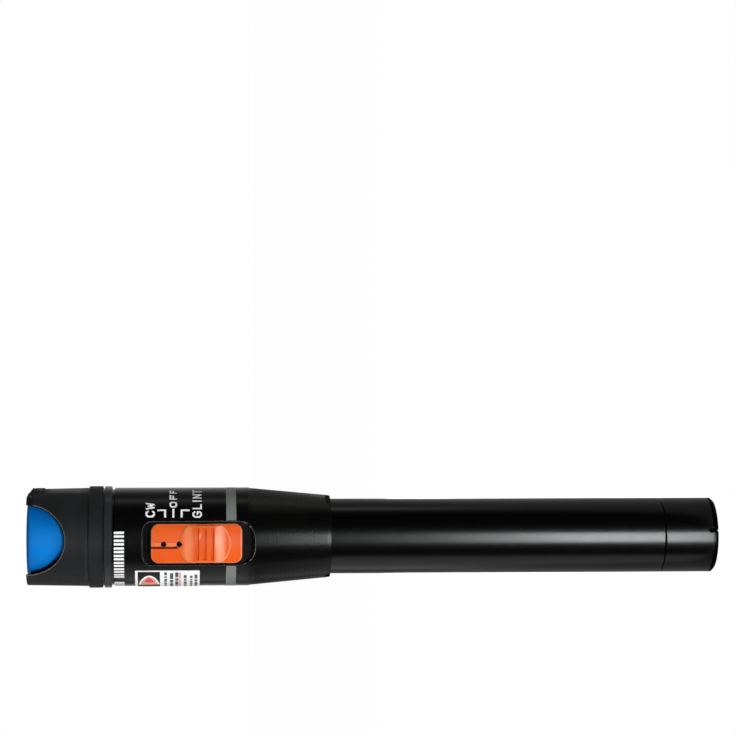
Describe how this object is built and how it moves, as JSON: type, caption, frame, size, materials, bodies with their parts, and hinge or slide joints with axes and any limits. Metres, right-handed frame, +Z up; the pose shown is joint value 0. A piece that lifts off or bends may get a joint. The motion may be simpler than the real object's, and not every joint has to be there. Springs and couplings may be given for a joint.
{
  "type": "visual fault locator",
  "caption": "Pen-shaped red-light fibre fault locator: flip dust cap in a scalloped cowl, three-position slide switch, battery tube and screw-off tail cap.",
  "frame": {"origin": "centre of the flat tail face, on which the pen stands", "axes": "+Z up the pen to its nose, -Y through the slide switch, +X on the dust cap's hinge side"},
  "size_m": [0.0256, 0.0263, 0.175],
  "materials": {
    "black_aluminium": "black anodised, satin",
    "seal_rubber": "moulded",
    "nickel_plate": "nickel plated",
    "spring_steel": "drawn wire",
    "black_steel": "blackened pin",
    "cell_can": "plain sleeved cell",
    "black_plastic": "fine texture",
    "cowl_plastic": "fine texture",
    "label_paper": "printed film",
    "orange_plastic": "moulded",
    "switch_plastic": "moulded",
    "board_green": "solder mask",
    "capacitor_tan": "moulded",
    "carrier_plastic": "moulded",
    "contact_brass": "stamped",
    "module_brass": "turned",
    "wire_red": "insulated",
    "wire_black": "insulated",
    "lens_glass": "polished",
    "zirconia": "ground",
    "blue_plastic": "moulded",
    "pad_rubber": "moulded"
  },
  "bodies": {
    "pen_body": {"battery_tube": "black_aluminium", "tube_seal": "seal_rubber", "rear_cell": "cell_can", "front_cell": "cell_can", "head_housing": "black_plastic", "info_label": "label_paper", "slide_switch": "nickel_plate", "circuit_board": "board_green", "driver_chip": "switch_plastic", "board_capacitor": "capacitor_tan", "contact_carrier": "carrier_plastic", "positive_contact": "contact_brass", "ground_ring": "contact_brass", "laser_wire_red": "wire_red", "laser_wire_black": "wire_black", "laser_housing": "module_brass", "laser_diode": "nickel_plate", "collimator_lens": "lens_glass", "port_adapter": "nickel_plate", "ceramic_sleeve": "zirconia", "cowl": "cowl_plastic", "cap_hinge_pin": "black_steel"},
    "dust_cap": {"dust_cap": "blue_plastic", "cap_pad": "pad_rubber"},
    "slider": {"switch_slider": "orange_plastic", "switch_lever": "switch_plastic"},
    "seal_carrier": {"tail_seal": "seal_rubber"},
    "tail_cap": {"tail_cap": "black_aluminium", "tail_contact": "nickel_plate", "tail_spring": "spring_steel"}
  },
  "joints": [
    {"name": "dust_cap_flip", "type": "hinge", "parent": "pen_body", "child": "dust_cap", "pos_m": [0.01048, 0.00068, 0.174], "axis": [-0.0645, 0.9979, 0], "range_deg": [0, 120]},
    {"name": "switch_slide", "type": "slide", "parent": "pen_body", "child": "slider", "axis": [0, 0, 1], "range_m": [-0.00205, 0.00205]},
    {"name": "tail_cap_travel", "type": "slide", "parent": "pen_body", "child": "seal_carrier", "axis": [0, 0, -1], "range_m": [0, 0.006]},
    {"name": "tail_cap_turn", "type": "hinge", "parent": "seal_carrier", "child": "tail_cap", "pos_m": [0, 0, 0], "axis": [0, 0, -1], "range_deg": [0, 2160]}
  ],
  "couplings": [
    {"joint": "tail_cap_travel", "follows": "tail_cap_turn", "m_per_rad": 0.000159}
  ]
}
